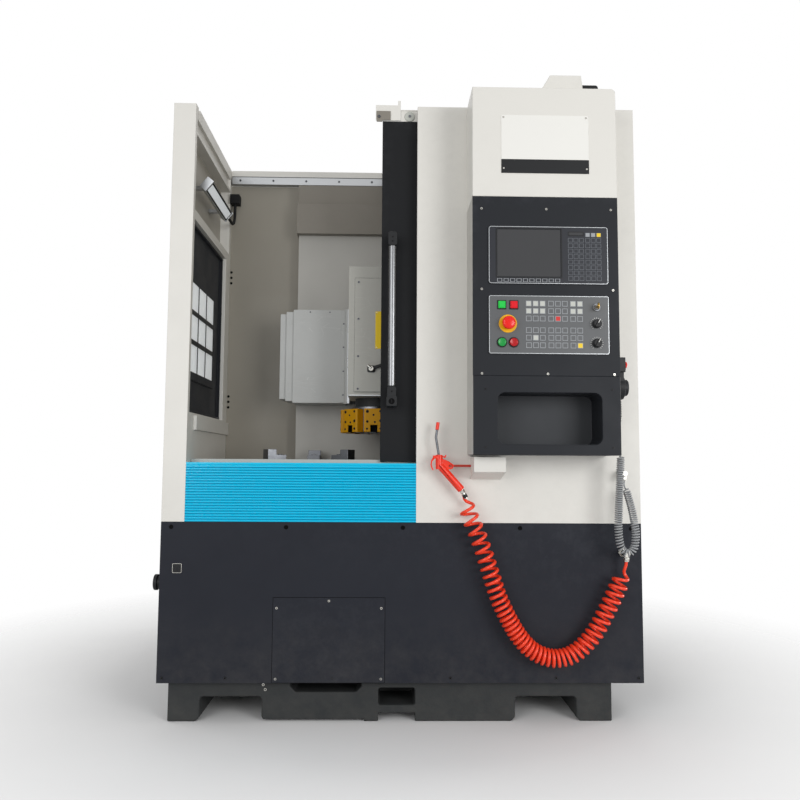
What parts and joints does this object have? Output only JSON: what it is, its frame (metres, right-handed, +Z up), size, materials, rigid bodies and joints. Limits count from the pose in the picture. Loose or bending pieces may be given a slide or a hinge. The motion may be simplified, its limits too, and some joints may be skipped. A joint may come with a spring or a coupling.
{
  "type": "vertical lathe",
  "caption": "Vertical turning lathe with a sliding front door, side window door, control box on the right, jawed chuck, tool turret on a cross slide, air gun on a coiled hose and hand pendant",
  "frame": {"origin": "on the floor, at the middle of the rectangle of anchor holes in the base", "axes": "X to the operator's right, Y from the front to the back, Z up"},
  "size_m": [1.676, 1.705, 2.212],
  "materials": {
    "cast_grey": "rough dark grey paint over casting",
    "machined_iron": "machined and oiled",
    "dark_sheet": "textured charcoal powder coat",
    "white_sheet": "smooth warm white powder coat",
    "beige_sheet": "matt beige grey paint",
    "cyan_sheet": "satin cyan blue paint",
    "steel": "ground steel",
    "cover_steel": "fine brushed sheet",
    "yellow_block": "satin yellow paint",
    "grey_panel": "silver grey membrane",
    "key_pad": "matt keys",
    "black_plastic": "matt black",
    "grey_plastic": "matt dark grey",
    "red_cap": "glossy red",
    "green_cap": "glossy green",
    "orange_plastic": "glossy orange red",
    "hose_orange": "glossy translucent orange",
    "cable_grey": "silver grey jacket",
    "brass": "bright brass",
    "window": "clear laminated glass",
    "lamp": "silver anodised"
  },
  "bodies": {
    "frame": {"base_casting": "cast_grey", "lower_panels": "dark_sheet", "front_access_cover": "dark_sheet", "filler_cap": "black_plastic", "spindle_housing": "machined_iron", "spindle_motor": "machined_iron", "column": "machined_iron", "column_cover": "beige_sheet", "sill_panel": "cyan_sheet", "chip_pan": "beige_sheet", "left_wall": "white_sheet", "back_wall": "beige_sheet", "right_front_panel": "white_sheet", "right_side_shell": "white_sheet", "rear_cabinet": "white_sheet", "hood": "white_sheet", "top_duct": "white_sheet", "hmi_box": "dark_sheet", "hmi_front_plate": "dark_sheet", "screen_unit": "grey_panel", "operator_panel": "grey_panel", "membrane_keys": "key_pad", "work_lamp": "lamp", "pendant_body": "grey_plastic", "gun_holder": "white_sheet", "air_gun": "orange_plastic", "air_hose": "hose_orange", "pendant_cord": "cable_grey", "hose_fittings": "steel", "way_cover_inner": "cover_steel"},
    "door": {"sliding_door": "dark_sheet", "door_window": "window", "door_handle": "steel", "sliding_roof": "white_sheet"},
    "side_door": {"side_door": "dark_sheet", "side_door_glass": "window"},
    "saddle": {"saddle": "machined_iron", "way_cover_outer": "cover_steel"},
    "way_middle": {"way_cover_middle": "cover_steel"},
    "x_screw": {"x_ball_screw": "steel"},
    "ram": {"ram": "beige_sheet"},
    "turret": {"turret_head": "machined_iron", "tool_blocks": "yellow_block"},
    "spindle": {"spindle": "steel", "chuck": "steel"},
    "jaw_1": {"chuck_jaw_1": "steel"},
    "jaw_2": {"chuck_jaw_2": "steel"},
    "jaw_3": {"chuck_jaw_3": "steel"},
    "estop": {"estop_button": "red_cap"},
    "cycle_start": {"cycle_start_button": "green_cap"},
    "cycle_stop": {"cycle_stop_button": "red_cap"},
    "power_on": {"power_on_button": "green_cap"},
    "power_off": {"power_off_button": "red_cap"},
    "feed_knob": {"feed_knob": "black_plastic"},
    "spindle_knob": {"spindle_knob": "black_plastic"},
    "key_switch": {"key_switch": "brass"},
    "pendant_wheel": {"pendant_wheel": "black_plastic"},
    "pendant_knob": {"pendant_knob": "black_plastic"},
    "pendant_stop": {"pendant_stop": "red_cap"},
    "gun_trigger": {"gun_trigger": "orange_plastic"}
  },
  "joints": [
    {"name": "door_slide", "type": "slide", "parent": "frame", "child": "door", "axis": [1, 0, 0], "range_m": [-0.66, 0.05]},
    {"name": "side_door_hinge", "type": "hinge", "parent": "frame", "child": "side_door", "pos_m": [-0.799, -0.184, 1.395], "axis": [0, 0, -1], "range_deg": [0, 100]},
    {"name": "cross_slide", "type": "slide", "parent": "frame", "child": "saddle", "axis": [1, 0, 0], "range_m": [-0.05, 0.28]},
    {"name": "way_cover_slide", "type": "slide", "parent": "frame", "child": "way_middle", "axis": [1, 0, 0], "range_m": [-0.025, 0.14]},
    {"name": "cross_screw_turn", "type": "hinge", "parent": "frame", "child": "x_screw", "pos_m": [-0.01, -0.25, 1.305], "axis": [1, 0, 0], "continuous": true},
    {"name": "ram_slide", "type": "slide", "parent": "saddle", "child": "ram", "axis": [0, 0, 1], "range_m": [-0.05, 0.35]},
    {"name": "turret_index", "type": "hinge", "parent": "ram", "child": "turret", "pos_m": [-0.069, -0.42, 1.035], "axis": [0, 0, 1], "continuous": true},
    {"name": "spindle_spin", "type": "hinge", "parent": "frame", "child": "spindle", "pos_m": [-0.315, -0.42, 0.8], "axis": [0, 0, 1], "continuous": true},
    {"name": "jaw_1_slide", "type": "slide", "parent": "spindle", "child": "jaw_1", "axis": [0, 1, 0], "range_m": [-0.006, 0.008]},
    {"name": "jaw_2_slide", "type": "slide", "parent": "spindle", "child": "jaw_2", "axis": [-0.866, -0.5, 0], "range_m": [-0.006, 0.008]},
    {"name": "jaw_3_slide", "type": "slide", "parent": "spindle", "child": "jaw_3", "axis": [0.866, -0.5, 0], "range_m": [-0.006, 0.008]},
    {"name": "estop_press", "type": "slide", "parent": "frame", "child": "estop", "axis": [0, 1, 0], "range_m": [0, 0.005], "stiffness_N_per_m": 700},
    {"name": "cycle_start_press", "type": "slide", "parent": "frame", "child": "cycle_start", "axis": [0, 1, 0], "range_m": [0, 0.004], "stiffness_N_per_m": 700},
    {"name": "cycle_stop_press", "type": "slide", "parent": "frame", "child": "cycle_stop", "axis": [0, 1, 0], "range_m": [0, 0.004], "stiffness_N_per_m": 700},
    {"name": "power_on_press", "type": "slide", "parent": "frame", "child": "power_on", "axis": [0, 1, 0], "range_m": [0, 0.004], "stiffness_N_per_m": 700},
    {"name": "power_off_press", "type": "slide", "parent": "frame", "child": "power_off", "axis": [0, 1, 0], "range_m": [0, 0.004], "stiffness_N_per_m": 700},
    {"name": "feed_knob_turn", "type": "hinge", "parent": "frame", "child": "feed_knob", "pos_m": [0.6675, -0.929, 1.338], "axis": [0, -1, 0], "range_deg": [-140, 140]},
    {"name": "spindle_knob_turn", "type": "hinge", "parent": "frame", "child": "spindle_knob", "pos_m": [0.6675, -0.929, 1.273], "axis": [0, -1, 0], "range_deg": [-140, 140]},
    {"name": "key_switch_turn", "type": "hinge", "parent": "frame", "child": "key_switch", "pos_m": [0.6675, -0.929, 1.393], "axis": [0, 1, 0], "range_deg": [0, 90]},
    {"name": "pendant_wheel_turn", "type": "hinge", "parent": "frame", "child": "pendant_wheel", "pos_m": [0.781, -0.845, 1.134], "axis": [1, 0, 0], "continuous": true},
    {"name": "pendant_knob_turn", "type": "hinge", "parent": "frame", "child": "pendant_knob", "pos_m": [0.781, -0.827, 1.199], "axis": [1, 0, 0], "range_deg": [-100, 100]},
    {"name": "pendant_stop_press", "type": "slide", "parent": "frame", "child": "pendant_stop", "axis": [-1, 0, 0], "range_m": [0, 0.003], "stiffness_N_per_m": 700},
    {"name": "gun_trigger_pull", "type": "hinge", "parent": "frame", "child": "gun_trigger", "pos_m": [0.141, -0.795, 0.897], "axis": [0, -1, 0], "range_deg": [0, 6], "stiffness_Nm_per_rad": 0.5}
  ],
  "couplings": [
    {"joint": "way_cover_slide", "follows": "cross_slide", "ratio": 0.5},
    {"joint": "cross_screw_turn", "follows": "cross_slide", "rad_per_m": 628.32},
    {"joint": "jaw_2_slide", "follows": "jaw_1_slide", "ratio": 1},
    {"joint": "jaw_3_slide", "follows": "jaw_1_slide", "ratio": 1}
  ]
}
